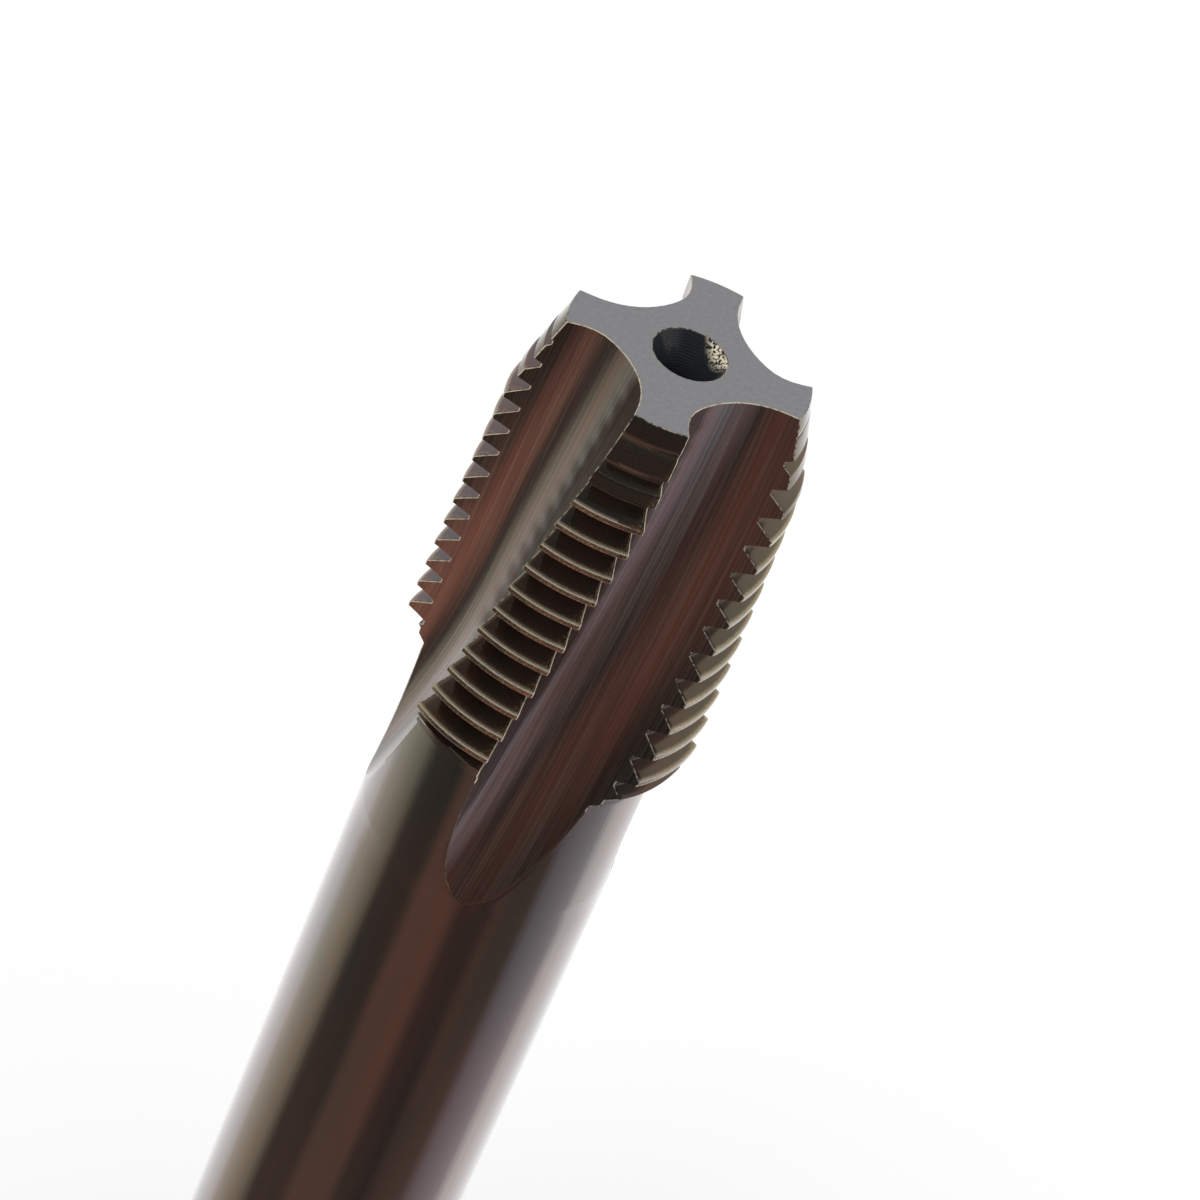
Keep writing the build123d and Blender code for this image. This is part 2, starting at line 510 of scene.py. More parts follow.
def mesh_from_rows(name, rows, kinds, materials):
    """A closed mesh from rows of points that each go once round, with its finishes."""
    x, y, depth, across = rows[:4]
    count, width = x.shape
    points = np.stack([x, y, LENGTH - depth], -1) * MM
    index = np.arange(count * width).reshape(count, width)
    following = np.roll(index, -1, 1)
    quads = np.stack([index[:-1], index[1:], following[1:], following[:-1]], -1).reshape(-1, 4)
    mesh = bpy.data.meshes.new(name)
    mesh.from_pydata(points.reshape(-1, 3), [], quads)
    mesh.polygons.foreach_set("material_index", kinds.reshape(-1).astype(np.int32))
    for label, values in zip(("height", "behind_edge", "front_line", "back_line"), rows[4:]):
        mesh.attributes.new(label, "FLOAT", "POINT").data.foreach_set(
            "value", values.reshape(-1).astype(np.float32)
        )
    uv = np.stack([across, depth], -1).reshape(-1, 2)[quads.reshape(-1)] / 100
    mesh.uv_layers.new(name="UVMap").data.foreach_set("uv", uv.reshape(-1).astype(np.float32))
    for material in materials:
        mesh.materials.append(material)
    work = bmesh.new()
    work.from_mesh(mesh)
    bmesh.ops.remove_doubles(work, verts=work.verts, dist=0.0004 * MM)
    work.to_mesh(mesh)
    work.free()
    mesh.shade_smooth()
    mesh.set_sharp_from_angle(angle=SMOOTH_ANGLE)
    # the front face is ground flat
    smooth = np.array([polygon.material_index != FACE for polygon in mesh.polygons])
    mesh.polygons.foreach_set("use_smooth", smooth)
    piece = bpy.data.objects.new(name, mesh)
    bpy.context.collection.objects.link(piece)
    return piece


def tap_rows(edge):
    """All rows of the tap, from the bottom of one centre hole to the other's.

    Pilot, cone, front face, rim, thread, flutes' run-out, shank, square, end face,
    cone and pilot, and the finish of each strip between them.
    """
    last = int(NECK_START / PITCH * ROWS_PER_PITCH) - 4
    thread = fluted_rows(rows=np.arange(-10, last + 1), edge=edge)
    closing = 1 - (1 - np.linspace(0, 1, 42)[1:]) ** 2
    end = flute_end()
    depths = np.concatenate([[19.2, 19.4, SHANK_START], SHANK_START + (end - SHANK_START) * closing])
    exit_part = fluted_rows(depths=depths, edge=edge)
    end_angle = np.degrees(np.arctan2(exit_part[1][-1, 0], exit_part[0][-1, 0]))
    shank = shank_rows(end_angle)

    cone = (FRONT_CENTRE - FRONT_PILOT) / CONE_SLOPE
    wall = FRONT_CENTRE - HOLE_RIM
    slope = [
        (FRONT_PILOT + (wall - FRONT_PILOT) * s, cone - (cone - HOLE_RIM) * s)
        for s in np.linspace(0, 1, 5)
    ]
    pilot = [(0, cone + PILOT_DEPTH + 0.3), (FRONT_PILOT, cone + PILOT_DEPTH)]
    face_turn = face_turns(thread[0][0], thread[1][0])
    hole = centre_rows(face_turn, pilot + slope + [(FRONT_CENTRE + HOLE_RIM, 0)])
    rim = [row[:1].copy() for row in thread]
    rim[0][0], rim[1][0] = inset(thread[0][0], thread[1][0], RIM)
    rim[2][:] = 0

    cone = (SHANK_CENTRE - SHANK_PILOT) / CONE_SLOPE
    end_hole = [
        (SHANK_CENTRE, LENGTH),
        (SHANK_PILOT, LENGTH - cone),
        (SHANK_PILOT, LENGTH - cone - PILOT_DEPTH),
        (0, LENGTH - cone - PILOT_DEPTH - 0.3),
    ]
    bottom = centre_rows(np.unwrap(np.arctan2(shank[1][-1], shank[0][-1])), end_hole)
    rows = [np.concatenate(part) for part in zip(hole, rim, thread, exit_part, shank, bottom)]
    strips = [
        (column_kinds(CENTRE, CENTRE, CENTRE, CENTRE), len(hole[0]) - 2),
        # the hole's rim and the face's outline bevel take the edges' painted highlight
        (column_kinds(HEEL_EDGE, HEEL_EDGE, HEEL_EDGE, HEEL_EDGE), 1),
        (column_kinds(FACE, FACE, FACE, FACE), 1),
        (column_kinds(HEEL_EDGE, LEAD_EDGE, LEAD_EDGE, LEAD_EDGE), 1),
        (column_kinds(COAT, LEAD_EDGE, FLUTE, HEEL_EDGE), len(thread[0]) + 3),
        (column_kinds(COAT, COAT, FLUTE, COAT), len(depths) - 3),
        (column_kinds(COAT, COAT, COAT, COAT), len(shank[0])),
        (column_kinds(CENTRE, CENTRE, CENTRE, CENTRE), len(end_hole) - 1),
    ]
    kinds = np.concatenate([np.tile(columns, (count, 1)) for columns, count in strips])
    if len(kinds) != len(rows[0]) - 1:
        raise RuntimeError("the finishes do not match the rows")
    return rows, kinds


# Materials


def linear(code):
    """Linear red, green, blue and alpha of an sRGB hex colour."""
    parts = np.array([int(code[i : i + 2], 16) for i in (1, 3, 5)]) / 255
    parts = np.where(parts <= 0.04045, parts / 12.92, ((parts + 0.055) / 1.055) ** 2.4)
    return (*parts.tolist(), 1.0)


def add(tree, kind, inputs=None, **settings):
    """Adds a node, sets its attributes, and sets or links its inputs."""
    node = tree.nodes.new(kind)
    for name, value in settings.items():
        setattr(node, name, value)
    for key, value in (inputs or {}).items():
        if isinstance(value, bpy.types.NodeSocket):
            tree.links.new(value, node.inputs[key])
        else:
            node.inputs[key].default_value = value
    return node


def new_material(name):
    """An empty node material and its tree."""
    material = bpy.data.materials.new(name)
    material.use_nodes = True
    material.node_tree.nodes.clear()
    return material, material.node_tree


def finish_material(tree, surface):
    """Links a shader to the material's output."""
    add(tree, "ShaderNodeOutputMaterial", {"Surface": surface})


def oxide_coat(colours):
    """Steam-oxidised high speed steel, ground: a dark glossy magnetite skin.

    The skin is a semi-metal that darkens the steel to brown and olive in long soft
    patches, and mirrors at a low angle. The blasted flanks hold a grain with painted
    golden glints near their crests and cutting edges. Each crest's front corner has
    a painted highlight and its back corner a painted copper reflection, both laid as
    bare worn metal.
    """
    material, tree = new_material("oxide_coated_steel_ground")
    place = add(tree, "ShaderNodeTexCoord").outputs["Object"]
    height = add(tree, "ShaderNodeAttribute", attribute_name="height").outputs["Fac"]
    behind = add(tree, "ShaderNodeAttribute", attribute_name="behind_edge").outputs["Fac"]
    front = add(tree, "ShaderNodeAttribute", attribute_name="front_line").outputs["Fac"]
    back = add(tree, "ShaderNodeAttribute", attribute_name="back_line").outputs["Fac"]

    # patches 3 mm across and eight times as long, along the axis
    long = add(tree, "ShaderNodeMapping", {"Vector": place, "Scale": (330.0, 330.0, 40.0)})
    patches = add(
        tree,
        "ShaderNodeTexNoise",
        {"Vector": long.outputs[0], "Scale": 1.0, "Detail": 3.0, "Roughness": 0.55},
    )
    share = add(
        tree,
        "ShaderNodeMapRange",
        {"Value": patches.outputs["Fac"], "From Min": 0.38, "From Max": 0.62},
        interpolation_type="SMOOTHSTEP",
    )
    tone = add(
        tree,
        "ShaderNodeMix",
        {0: share.outputs[0], 6: tuple(colours.coat), 7: tuple(colours.coat_warm)},
        data_type="RGBA",
    )

    # golden grain of 0.09 mm, as coarse as it needs to show, on the flanks: painted glints near the
    # crests and cutting edges
    grain = add(tree, "ShaderNodeTexNoise", {"Vector": place, "Scale": 11000.0, "Detail": 2.0})
    near_crest = add(
        tree,
        "ShaderNodeMapRange",
        {"Value": height, "From Min": 0.72, "From Max": 1.0, "To Max": 0.7},
        interpolation_type="SMOOTHSTEP",
    )
    parts = add(tree, "ShaderNodeSeparateXYZ", {0: place}).outputs
    chamfer_end = (LENGTH - BLANK_DEPTHS[1]) * MM
    behind_chamfer = add(
        tree, "ShaderNodeMath", {0: parts["Z"], 1: chamfer_end}, operation="LESS_THAN"
    )
    near_crest = add(
        tree,
        "ShaderNodeMath",
        {0: near_crest.outputs[0], 1: behind_chamfer.outputs[0]},
        operation="MULTIPLY",
    )
    reach = add(tree, "ShaderNodeMath", {0: height, 1: 0.55}, operation="MULTIPLY")
    short = add(tree, "ShaderNodeMath", {0: reach.outputs[0], 1: behind}, operation="SUBTRACT")
    near_lead = add(
        tree, "ShaderNodeMapRange", {"Value": short.outputs[0], "From Min": -0.1, "From Max": 0.25}
    )
    zone = add(
        tree,
        "ShaderNodeMath",
        {0: near_crest.outputs[0], 1: near_lead.outputs[0]},
        operation="MAXIMUM",
    )
    spark = add(
        tree,
        "ShaderNodeMapRange",
        {"Value": grain.outputs["Fac"], "From Min": 0.47, "From Max": 0.62},
    )
    golden = add(
        tree, "ShaderNodeMath", {0: zone.outputs[0], 1: spark.outputs[0]}, operation="MULTIPLY"
    )
    tone = add(
        tree,
        "ShaderNodeMix",
        {0: golden.outputs[0], 6: tone.outputs[2], 7: tuple(colours.grain)},
        data_type="RGBA",
    )
    # painted copper reflection along each crest's back corner, then a painted highlight along its
    # front corner, both laid as bare metal
    tone = add(
        tree,
        "ShaderNodeMix",
        {0: back, 6: tone.outputs[2], 7: tuple(colours.copper)},
        data_type="RGBA",
    )
    tone = add(
        tree,
        "ShaderNodeMix",
        {0: front, 6: tone.outputs[2], 7: tuple(colours.edge)},
        data_type="RGBA",
    )

    # the flanks are rougher than the shank, whose height above the root is nought
    flank = add(tree, "ShaderNodeMath", {0: height, 1: 0.02}, operation="GREATER_THAN")
    rough = add(
        tree,
        "ShaderNodeMapRange",
        {"Value": flank.outputs[0], "To Min": 0.13, "To Max": 0.27},
    )
    # the painted light lines at the crests are laid as bare metal, so they take light from every side
    worn = add(tree, "ShaderNodeMath", {0: front, 1: back}, operation="MAXIMUM")
    metal = add(
        tree,
        "ShaderNodeMapRange",
        {"Value": worn.outputs[0], "To Min": COAT_METAL, "To Max": SHEEN_LINE_METAL},
    )
    # polishing lines along the shank, 0.2 mm apart, which comb the edges of reflections
    round_shank = add(tree, "ShaderNodeUVMap", uv_map="UVMap").outputs[0]
    drawn = add(tree, "ShaderNodeMapping", {"Vector": round_shank, "Scale": (520.0, 9.0, 1.0)})
    lines = add(
        tree,
        "ShaderNodeTexNoise",
        {"Vector": drawn.outputs[0], "Scale": 1.0, "Detail": 3.0, "Roughness": 0.6},
    )
    polish = add(
        tree,
        "ShaderNodeMapRange",
        {"Value": flank.outputs[0], "To Min": 1.0, "To Max": 0.0},
    )
    combed = add(
        tree,
        "ShaderNodeBump",
        {"Strength": polish.outputs[0], "Distance": 0.01 * MM, "Height": lines.outputs["Fac"]},
    )
    bump = add(
        tree,
        "ShaderNodeBump",
        {
            "Strength": 0.12,
            "Distance": 0.02 * MM,
            "Height": grain.outputs["Fac"],
            "Normal": combed.outputs[0],
        },
    )
    shader = add(
        tree,
        "ShaderNodeBsdfPrincipled",
        {
            "Base Color": tone.outputs[2],
            "Metallic": metal.outputs[0],
            "Roughness": rough.outputs[0],
            "Coat Weight": COAT_WEIGHT,
            "Coat Roughness": 0.1,
            "Coat IOR": COAT_IOR,
            "Normal": bump.outputs[0],
        },
    )
    finish_material(tree, shader.outputs[0])
    return material


def flute_finish(colours):
    """Oxide coat over a wheel-ground flute: a silky mirror drawn into long lines.

    Lighter lines run along the flute, 0.1 mm apart and finer, over broad bands of
    olive grey and brown.
    """
    material, tree = new_material("oxide_coated_steel_flute")
    lines = add(tree, "ShaderNodeUVMap", uv_map="UVMap").outputs[0]
    # the map holds millimetres over 100: lines 0.12 mm wide and 14 mm long, bands 1 mm by 40
    fine = add(tree, "ShaderNodeMapping", {"Vector": lines, "Scale": (830.0, 7.0, 1.0)})
    broad = add(tree, "ShaderNodeMapping", {"Vector": lines, "Scale": (95.0, 2.5, 1.0)})
    streaks = add(
        tree,
        "ShaderNodeTexNoise",
        {"Vector": fine.outputs[0], "Scale": 1.0, "Detail": 4.0, "Roughness": 0.65},
    )
    bands = add(
        tree,
        "ShaderNodeTexNoise",
        {"Vector": broad.outputs[0], "Scale": 1.0, "Detail": 2.0, "Roughness": 0.5},
    )
    band = add(
        tree,
        "ShaderNodeMapRange",
        {"Value": bands.outputs["Fac"], "From Min": 0.36, "From Max": 0.64},
    )
    tone = add(
        tree,
        "ShaderNodeMix",
        {0: band.outputs[0], 6: tuple(colours.flute_dark), 7: tuple(colours.flute_brown)},
        data_type="RGBA",
    )
    streak = add(
        tree,
        "ShaderNodeMapRange",
        {"Value": streaks.outputs["Fac"], "From Min": 0.45, "From Max": 0.75},
    )
    tone = add(
        tree,
        "ShaderNodeMix",
        {0: streak.outputs[0], 6: tone.outputs[2], 7: tuple(colours.flute_light)},
        data_type="RGBA",
    )
    bump = add(
        tree,
        "ShaderNodeBump",
        {"Strength": 0.4, "Distance": 0.01 * MM, "Height": streaks.outputs["Fac"]},
    )
    shader = add(
        tree,
        "ShaderNodeBsdfPrincipled",
        {
            "Base Color": tone.outputs[2],
            "Metallic": COAT_METAL,
            "Roughness": 0.28,
            "Coat Weight": COAT_WEIGHT,
            "Coat Roughness": 0.22,
            "Coat IOR": COAT_IOR,
            "Normal": bump.outputs[0],
        },
    )
    finish_material(tree, shader.outputs[0])
    return material


def keen_edge(name, bright, dull, worn):
    """Keen ground edge bevel: a broken light line, painted highlight laid as coat worn to bare steel.

    The share worn through changes every 0.15 mm along the edge.
    """
    material, tree = new_material(name)
    place = add(tree, "ShaderNodeTexCoord").outputs["Object"]
    nicks = add(tree, "ShaderNodeTexNoise", {"Vector": place, "Scale": 6500.0, "Detail": 2.0})
    share = add(
        tree,
        "ShaderNodeMapRange",
        {"Value": nicks.outputs["Fac"], "From Min": 0.62 - worn / 2, "From Max": 0.72 - worn / 2},
    )
    tone = add(
        tree,
        "ShaderNodeMix",
        {0: share.outputs[0], 6: tuple(dull), 7: tuple(bright)},
        data_type="RGBA",
    )
    shader = add(
        tree,
        "ShaderNodeBsdfPrincipled",
        {"Base Color": tone.outputs[2], "Metallic": 0.5, "Roughness": 0.42},
    )
    finish_material(tree, shader.outputs[0])
    return material


def ground_face(colours):
    """High speed steel, front face ground flat: an even satin grey with faint specks."""
    material, tree = new_material("high_speed_steel_ground_face")
    place = add(tree, "ShaderNodeTexCoord").outputs["Object"]
    grain = add(
        tree,
        "ShaderNodeTexNoise",
        {"Vector": place, "Scale": 5000.0, "Detail": 4.0, "Roughness": 0.7},
    )
    share = add(
        tree,
        "ShaderNodeMapRange",
        {"Value": grain.outputs["Fac"], "From Min": 0.35, "From Max": 0.65},
    )
    tone = add(
        tree,
        "ShaderNodeMix",
        {0: share.outputs[0], 6: tuple(colours.face_dark), 7: tuple(colours.face)},
        data_type="RGBA",
    )
    bump = add(
        tree,
        "ShaderNodeBump",
        {"Strength": 0.15, "Distance": 0.01 * MM, "Height": grain.outputs["Fac"]},
    )
    shader = add(
        tree,
        "ShaderNodeBsdfPrincipled",
        {
            "Base Color": tone.outputs[2],
            "Metallic": 0.75,
            "Roughness": 0.45,
            "Normal": bump.outputs[0],
        },
    )
    finish_material(tree, shader.outputs[0])
    return material


def drilled_centre(colours):
    """Countersunk centre hole under the oxide coat: grey-black with turned rings.

    One patch of its wall holds a painted glint of bright specks, fixed in the part from every side.
    """
    material, tree = new_material("oxide_coated_steel_drilled")
    place = add(tree, "ShaderNodeTexCoord").outputs["Object"]
    # rings 0.1 mm apart up the cone, from a wave along the axis
    rings = add(
        tree,
        "ShaderNodeTexWave",
        {"Vector": place, "Scale": 3100.0, "Distortion": 4.0, "Detail": 2.0, "Detail Scale": 0.4},
        bands_direction="Z",
    )
    grain = add(tree, "ShaderNodeTexNoise", {"Vector": place, "Scale": 9000.0, "Detail": 2.0})
    level = add(
        tree,
        "ShaderNodeMath",
        {0: rings.outputs["Fac"], 1: grain.outputs["Fac"]},
        operation="ADD",
    )
    bump = add(
        tree,
        "ShaderNodeBump",
        {"Strength": 0.25, "Distance": 0.01 * MM, "Height": level.outputs[0]},
    )
    tone = add(
        tree,
        "ShaderNodeMix",
        {0: rings.outputs["Fac"], 6: tuple(colours.centre_dark), 7: tuple(colours.centre)},
        data_type="RGBA",
    )
    # a painted glint: bright specks in a patch of the cone's far right wall, laid as bare steel
    aside = add(
        tree, "ShaderNodeVectorMath", {0: place, 1: (0.78, 0.63, 0.0)}, operation="DOT_PRODUCT"
    )
    patch = add(
        tree,
        "ShaderNodeMapRange",
        {"Value": aside.outputs["Value"], "From Min": 1.1 * MM, "From Max": 1.35 * MM},
    )
    specks = add(
        tree,
        "ShaderNodeMapRange",
        {"Value": grain.outputs["Fac"], "From Min": 0.42, "From Max": 0.52},
    )
    painted_glint = add(
        tree, "ShaderNodeMath", {0: patch.outputs[0], 1: specks.outputs[0]}, operation="MULTIPLY"
    )
    tone = add(
        tree,
        "ShaderNodeMix",
        {0: painted_glint.outputs[0], 6: tone.outputs[2], 7: tuple(colours.edge)},
        data_type="RGBA",
    )
    steel = add(
        tree,
        "ShaderNodeMapRange",
        {"Value": painted_glint.outputs[0], "To Min": 0.6, "To Max": 0.0},
    )
    shader = add(
        tree,
        "ShaderNodeBsdfPrincipled",
        {
            "Base Color": tone.outputs[2],
            "Metallic": steel.outputs[0],
            "Roughness": 0.35,
            "Coat Weight": 0.3,
            "Coat IOR": COAT_IOR,
            "Normal": bump.outputs[0],
        },
    )
    finish_material(tree, shader.outputs[0])
    return material


def pale_floor(colours):
    """Plain matt paper floor: pale, and it takes a soft shadow."""
    material, tree = new_material("matt_paper_floor")
    shader = add(
        tree,
        "ShaderNodeBsdfPrincipled",
        {"Base Color": tuple(colours.floor), "Roughness": 0.9, "Specular IOR Level": 0.0},
    )
    finish_material(tree, shader.outputs[0])
    return material


# Studio

# What the steel mirrors, which is not the white background that the camera sees: from
# the camera's side to its right, a white sweep behind, grey boards beside, and a dark
# room with a dim warm board. The boards are placed for the one camera
LOW_BANDS = (
    (-180, "#FFFFFF"),
    (-118, "#FFFFFF"),
    (-112, "#E6E4DA"),
    (-98, "#D6D4C2"),
    (-80, "#B4B19E"),
    (-68, "#565652"),
    (-40, "#4E4E4A"),
    (-31, "#907468"),
    (0, "#8E7064"),
    (9, "#504A4A"),
    (30, "#504A4A"),
    (38, "#76645C"),
    (64, "#746258"),
    (74, "#A8A2AC"),
    (104, "#CCC7D0"),
    (113, "#FFFFFF"),
    (180, "#FFFFFF"),
)
# nearer the floor the warm board is wider and lighter
DEEP_BANDS = (
    (-180, "#FFFFFF"),
    (-121, "#FFFFFF"),
    (-96, "#A8A492"),
    (-70, "#54504C"),
    (-58, "#CE9682"),
    (18, "#CE9682"),
    (30, "#504A4A"),
    (44, "#504A4A"),
    (60, "#B8B0BA"),
    (106, "#DAD6DE"),
    (116, "#FFFFFF"),
    (180, "#FFFFFF"),
)
# level with the flutes the left is dim and olive
MIDDLE_BANDS = (
    (-180, "#8E8C80"),
    (-158, "#8A886E"),
    (-135, "#6C6C54"),
    (-108, "#5C5C48"),
    (-80, "#3A3834"),
    (-45, "#3A3634"),
    (-30, "#7C5C50"),
    (22, "#7C5C50"),
    (34, "#3E3A3A"),
    (52, "#B0A8B4"),
    (100, "#C4BCC4"),
    (125, "#B6B29E"),
    (155, "#D0CCC4"),
    (180, "#8E8C80"),
)
# and above it the front is dark
HIGH_BANDS = (
    (-180, "#C4BEC2"),
    (-136, "#B0A8AE"),
    (-118, "#9C9884"),
    (-96, "#6E7058"),
    (-74, "#3A3834"),
    (40, "#3A3636"),
    (60, "#8E8890"),
    (100, "#A8A2A0"),
    (122, "#AEAA96"),
    (140, "#BCB8A4"),
    (160, "#D0CCC2"),
    (180, "#C4BEC2"),
)
# by the height of a ray's end on a ball: dark overhead, with one soft light before it
LIGHT_BOTTOM, LIGHT_TOP, ROOM_TOP = 0.66, 0.76, 0.86
LIGHT_FRONT = 0.3  # the soft light is only this far toward the camera's side
# heights on the ball between which each table gives way to the one above it
BAND_LEVELS = ((-0.82, -0.7), (-0.56, -0.42), (-0.26, -0.1))


def set_bands(node, bands):
    """Gives a colour ramp its stops, from degrees and sRGB hex values."""
    stops = node.color_ramp.elements
    for number, (angle, code) in enumerate(bands):
        place = (angle + 180) / 360
        stop = stops[number] if number < 2 else stops.new(place)
        stop.position = place
        stop.color = linear(code)
    return node.outputs["Color"]


def studio_world(settings):
    """White to the camera, an even soft light, and the boards that steel mirrors.

    Glossy rays see only the boards, and not the white background.
    """
    world = bpy.data.worlds.new("studio")
    world.use_nodes = True
    tree = world.node_tree
    tree.nodes.clear()
    way = add(tree, "ShaderNodeTexCoord").outputs["Generated"]
    parts = add(tree, "ShaderNodeSeparateXYZ", {0: way}).outputs
    front = add(tree, "ShaderNodeMath", {0: parts["Y"], 1: -1.0}, operation="MULTIPLY")
    angle = add(tree, "ShaderNodeMath", {0: parts["X"], 1: front.outputs[0]}, operation="ARCTAN2")
    share = add(
        tree,
        "ShaderNodeMapRange",
        {"Value": angle.outputs[0], "From Min": -np.pi, "From Max": np.pi},
    )
    low = set_bands(add(tree, "ShaderNodeValToRGB", {0: share.outputs[0]}), LOW_BANDS)
    deep = set_bands(add(tree, "ShaderNodeValToRGB", {0: share.outputs[0]}), DEEP_BANDS)
    middle = set_bands(add(tree, "ShaderNodeValToRGB", {0: share.outputs[0]}), MIDDLE_BANDS)
    high = set_bands(add(tree, "ShaderNodeValToRGB", {0: share.outputs[0]}), HIGH_BANDS)
    sides = deep
    for bands, (bottom, top) in zip((low, middle, high), BAND_LEVELS):
        level = add(
            tree, "ShaderNodeMapRange", {"Value": parts["Z"], "From Min": bottom, "From Max": top}
        )
        mix = add(
            tree, "ShaderNodeMix", {0: level.outputs[0], 6: sides, 7: bands}, data_type="RGBA"
        )
        sides = mix.outputs[2]
    above = add(
        tree,
        "ShaderNodeMapRange",
        {"Value": parts["Z"], "From Min": LIGHT_TOP, "From Max": ROOM_TOP},
    )
    room = add(
        tree,
        "ShaderNodeMix",
        {0: above.outputs[0], 6: sides, 7: tuple(settings.dark)},
        data_type="RGBA",
    )
    over = add(tree, "ShaderNodeMath", {0: parts["Z"], 1: LIGHT_BOTTOM}, operation="GREATER_THAN")
    under = add(tree, "ShaderNodeMath", {0: parts["Z"], 1: LIGHT_TOP}, operation="LESS_THAN")
    before = add(
        tree, "ShaderNodeMath", {0: front.outputs[0], 1: LIGHT_FRONT}, operation="GREATER_THAN"
    )
    lit = add(
        tree, "ShaderNodeMath", {0: over.outputs[0], 1: under.outputs[0]}, operation="MULTIPLY"
    )
    lit = add(tree, "ShaderNodeMath", {0: lit.outputs[0], 1: before.outputs[0]}, operation="MULTIPLY")
    room = add(
        tree,
        "ShaderNodeMix",
        {0: lit.outputs[0], 6: room.outputs[2], 7: tuple(settings.soft_light)},
        data_type="RGBA",
    )
    ray = add(tree, "ShaderNodeLightPath").outputs
    mirrored = add(tree, "ShaderNodeBackground", {"Color": room.outputs[2], "Strength": 1.0})
    ambient = add(
        tree, "ShaderNodeBackground", {"Color": (1, 1, 1, 1), "Strength": settings.ambient}
    )
    white = add(tree, "ShaderNodeBackground", {"Color": (1, 1, 1, 1), "Strength": 1.0})
    around = add(
        tree,
        "ShaderNodeMixShader",
        {0: ray["Is Glossy Ray"], 1: ambient.outputs[0], 2: mirrored.outputs[0]},
    )
    straight = add(
        tree,
        "ShaderNodeMath",
        {0: ray["Is Camera Ray"], 1: ray["Is Transmission Ray"]},
        operation="MAXIMUM",
    )
    seen = add(
        tree,
        "ShaderNodeMixShader",
        {0: straight.outputs[0], 1: around.outputs[0], 2: white.outputs[0]},
    )
    add(tree, "ShaderNodeOutputWorld", {"Surface": seen.outputs[0]})
    return world


def place_sun(settings):
    """A broad key light from over the camera's left, which throws the soft shadow."""
    data = bpy.data.lights.new("key", "SUN")
    data.energy = settings.sun
    data.angle = settings.sun_spread
    light = bpy.data.objects.new("key", data)
    aim = Vector((0.5, 0.35, -1.0))
    light.rotation_euler = aim.to_track_quat("-Z", "Y").to_euler()
    light.visible_glossy = False
    bpy.context.scene.collection.objects.link(light)


# Camera: its sensor and lens in mm, its three axes, and its place in mm
SENSOR, LENS = 36, 180.81
CAMERA_RIGHT = (0.917283, 0.250767, 0.309367)
CAMERA_UP = (-0.398236, 0.577608, 0.712585)
CAMERA_BACK = (0.0, -0.776843, 0.629695)
CAMERA_PLACE = (0.585, -188.718, LENGTH + 139.877)


# Settings


def colour(name, code, text):
    """A colour setting with its sRGB hex default."""
    return FloatVectorProperty(
        name=name, description=text, default=linear(code), size=4, subtype="COLOR", min=0, max=1
    )


class TapColours(bpy.types.PropertyGroup):
    """Colours of the tap's finishes."""

    coat: colour("Coat", "#4C463D", "Oxide coat where it is olive")
    coat_warm: colour("Warm coat", "#684A3E", "Oxide coat where it turns brown")
    # golden glints painted on the flanks' grain, near the crests and cutting edges
    grain: colour("Grain", "#B8A67C", "Golden grain on the flanks")
    # painted copper reflection along each crest's back corner, laid as bare metal
    copper: colour("Copper line", "#C07A5C", "Back corner of each crest")
    flute_dark: colour("Flute, dark", "#443E39", "Darker bands along the flutes")
    flute_brown: colour("Flute, brown", "#7A4E40", "Brown bands along the flutes")
    flute_light: colour("Flute, light", "#928880", "Lighter lines ground along the flutes")
    # painted highlights on the edge bevels, rims and crests' fronts, laid as bare steel; the edge
    # colour is also the centre hole's painted glint
    edge: colour("Edge", "#F0E2C8", "Bright steel at the keen edges")
    edge_dull: colour("Dull edge", "#B0AA98", "Edges that keep some of their coat")
    face: colour("Face", "#ACAEB2", "Front face, ground flat")
    face_dark: colour("Face specks", "#A0A2A6", "Specks in the front face")
    centre: colour("Centre hole", "#3E444A", "Coat on the rings of the centre holes")
    centre_dark: colour("Centre hole, dark", "#2A2E33", "Coat between the rings")


class TapSizes(bpy.types.PropertyGroup):
    """Sizes of the tap's details."""

    edge: FloatProperty(
        name="Edge width",
        description="Width of the bevel along each land, in metres",
        default=0.04 * MM,
        min=0,
        unit="LENGTH",
    )


class StageSettings(bpy.types.PropertyGroup):
    """Floor and light of the studio."""

    floor: colour("Floor", "#FBFBFB", "Paper floor")
    dark: colour("Dark room", "#484644", "What the steel mirrors from overhead")
    soft_light: colour("Soft light", "#A89C80", "Light before the tap, as the steel mirrors it")
    floor_size: FloatProperty(
        name="Floor size",
        description="Side of the floor",
        default=4.0,
        min=1,
        unit="LENGTH",
    )
    ambient: FloatProperty(
        name="Tent light",
        description="Strength of the even light from all round",
        default=0.81,
        min=0,
    )
    sun: FloatProperty(
        name="Key light",
        description="Strength of the broad light over the camera's left",
        default=0.95,
        min=0,
    )
    sun_spread: FloatProperty(
        name="Key light spread",
        description="Width of the key light, as an angle",
        default=radians(40),
        min=0,
        subtype="ANGLE",
    )


# Operators


class OBJECT_OT_tap_body(bpy.types.Operator):
    """Build the tap's body over its frame"""

    bl_idname = "object.tap_body"
    bl_label = "Tap Body"

    def execute(self, context):
        colours = context.scene.tap_colours
        sizes = context.scene.tap_sizes
        materials = [
            oxide_coat(colours),
            flute_finish(colours),
            keen_edge("bare_steel_edge_painted_highlight", colours.edge, colours.edge_dull, 0.5),
            keen_edge("dull_steel_edge_painted_highlight", colours.edge_dull, colours.coat, 0.4),
            ground_face(colours),
            drilled_centre(colours),
        ]
        rows, kinds = tap_rows(sizes.edge / MM)
        if not np.isfinite(rows[0]).all():
            raise RuntimeError("the tap's surface could not be worked out")
        piece = mesh_from_rows("tap_body", rows, kinds, materials)
        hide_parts("tap")
        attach(piece, "root")
        return {"FINISHED"}


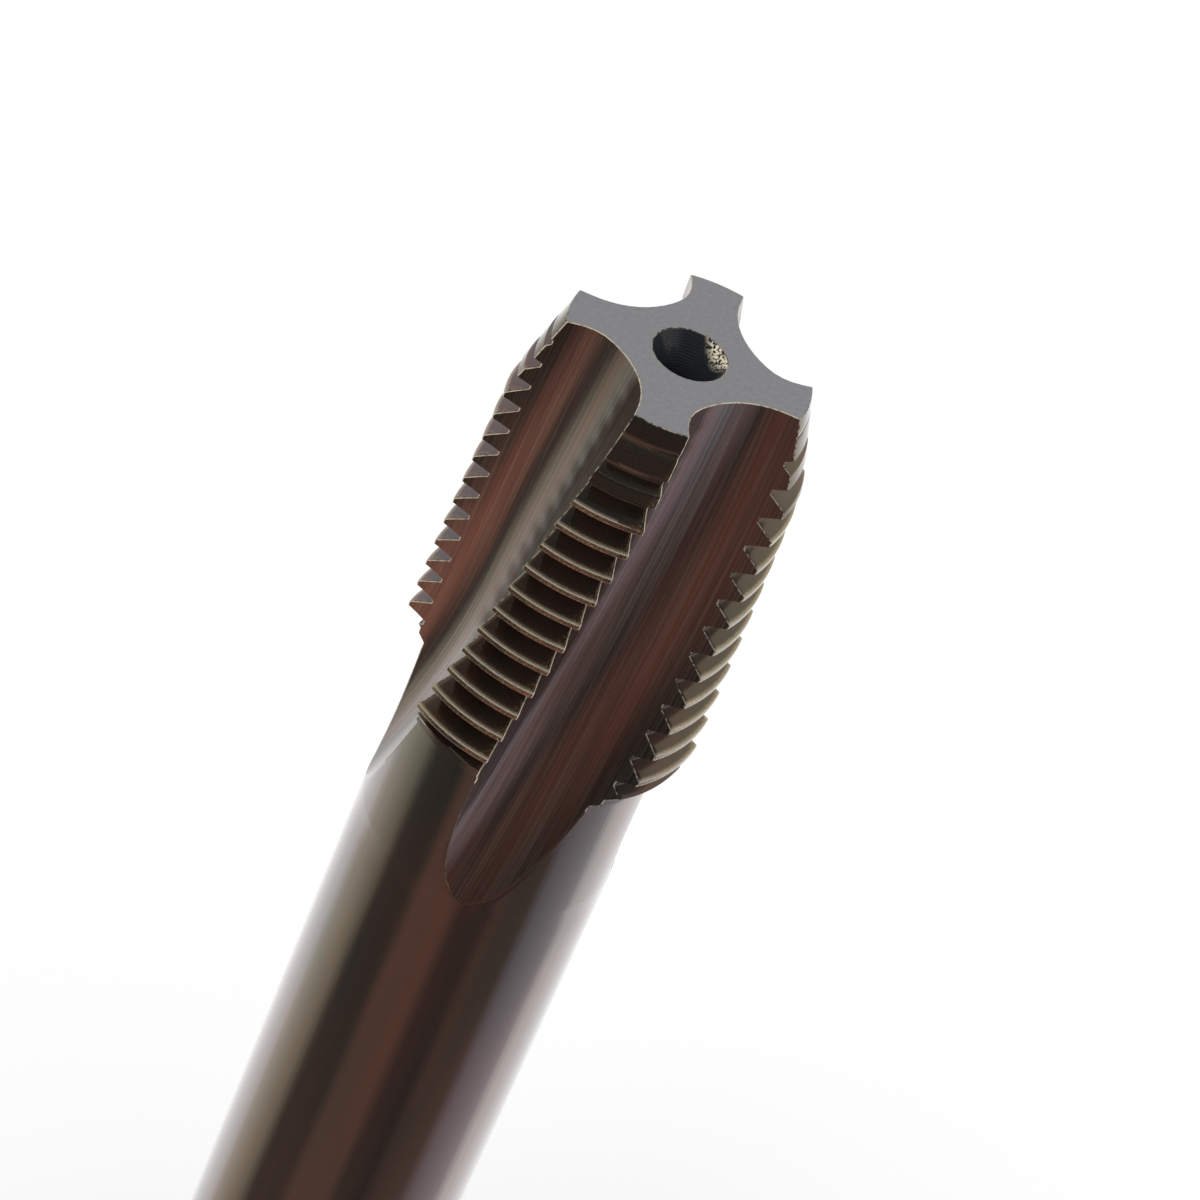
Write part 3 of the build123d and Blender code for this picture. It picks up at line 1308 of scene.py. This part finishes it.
class OBJECT_OT_tap_stage(bpy.types.Operator):
    """Lay the floor, set the lights and place the camera"""

    bl_idname = "object.tap_stage"
    bl_label = "Studio"

    def execute(self, context):
        scene = context.scene
        settings = scene.tap_stage
        half = settings.floor_size / 2
        mesh = bpy.data.meshes.new("floor")
        mesh.from_pydata(
            [(-half, -half, 0), (half, -half, 0), (half, half, 0), (-half, half, 0)],
            [],
            [(0, 1, 2, 3)],
        )
        mesh.materials.append(pale_floor(settings))
        floor = bpy.data.objects.new("floor", mesh)
        scene.collection.objects.link(floor)

        floor.visible_glossy = False
        scene.world = studio_world(settings)
        place_sun(settings)

        camera = bpy.data.cameras.new("camera")
        camera.sensor_width = SENSOR
        camera.lens = LENS
        camera.clip_start = 0.01
        camera.clip_end = 10
        eye = bpy.data.objects.new("camera", camera)
        place = Matrix((CAMERA_RIGHT, CAMERA_UP, CAMERA_BACK)).transposed().to_4x4()
        place.translation = [value * MM for value in CAMERA_PLACE]
        eye.matrix_world = place
        scene.collection.objects.link(eye)
        scene.camera = eye
        scene.view_settings.view_transform = "Standard"
        return {"FINISHED"}


class VIEW3D_PT_tap(bpy.types.Panel):
    """Tap panel in the sidebar"""

    bl_label = "Taper Pipe Tap"
    bl_idname = "VIEW3D_PT_tap"
    bl_space_type = "VIEW_3D"
    bl_region_type = "UI"
    bl_category = "Tap"

    def draw(self, context):
        layout = self.layout
        scene = context.scene
        for group in (scene.tap_sizes, scene.tap_colours, scene.tap_stage):
            for name in group.bl_rna.properties.keys():
                if name not in ("rna_type", "name"):
                    layout.prop(group, name)
        layout.operator(OBJECT_OT_tap_body.bl_idname)
        layout.operator(OBJECT_OT_tap_stage.bl_idname)


CLASSES = (
    TapColours,
    TapSizes,
    StageSettings,
    OBJECT_OT_tap_body,
    OBJECT_OT_tap_stage,
    VIEW3D_PT_tap,
)


def register():
    for kind in CLASSES:
        bpy.utils.register_class(kind)
    bpy.types.Scene.tap_colours = PointerProperty(type=TapColours)
    bpy.types.Scene.tap_sizes = PointerProperty(type=TapSizes)
    bpy.types.Scene.tap_stage = PointerProperty(type=StageSettings)


def unregister():
    del bpy.types.Scene.tap_stage
    del bpy.types.Scene.tap_sizes
    del bpy.types.Scene.tap_colours
    for kind in reversed(CLASSES):
        bpy.utils.unregister_class(kind)


def main():
    """Registers the add-on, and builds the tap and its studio."""
    register()
    bpy.ops.object.tap_body()
    bpy.ops.object.tap_stage()


if __name__ == "__main__":
    main()
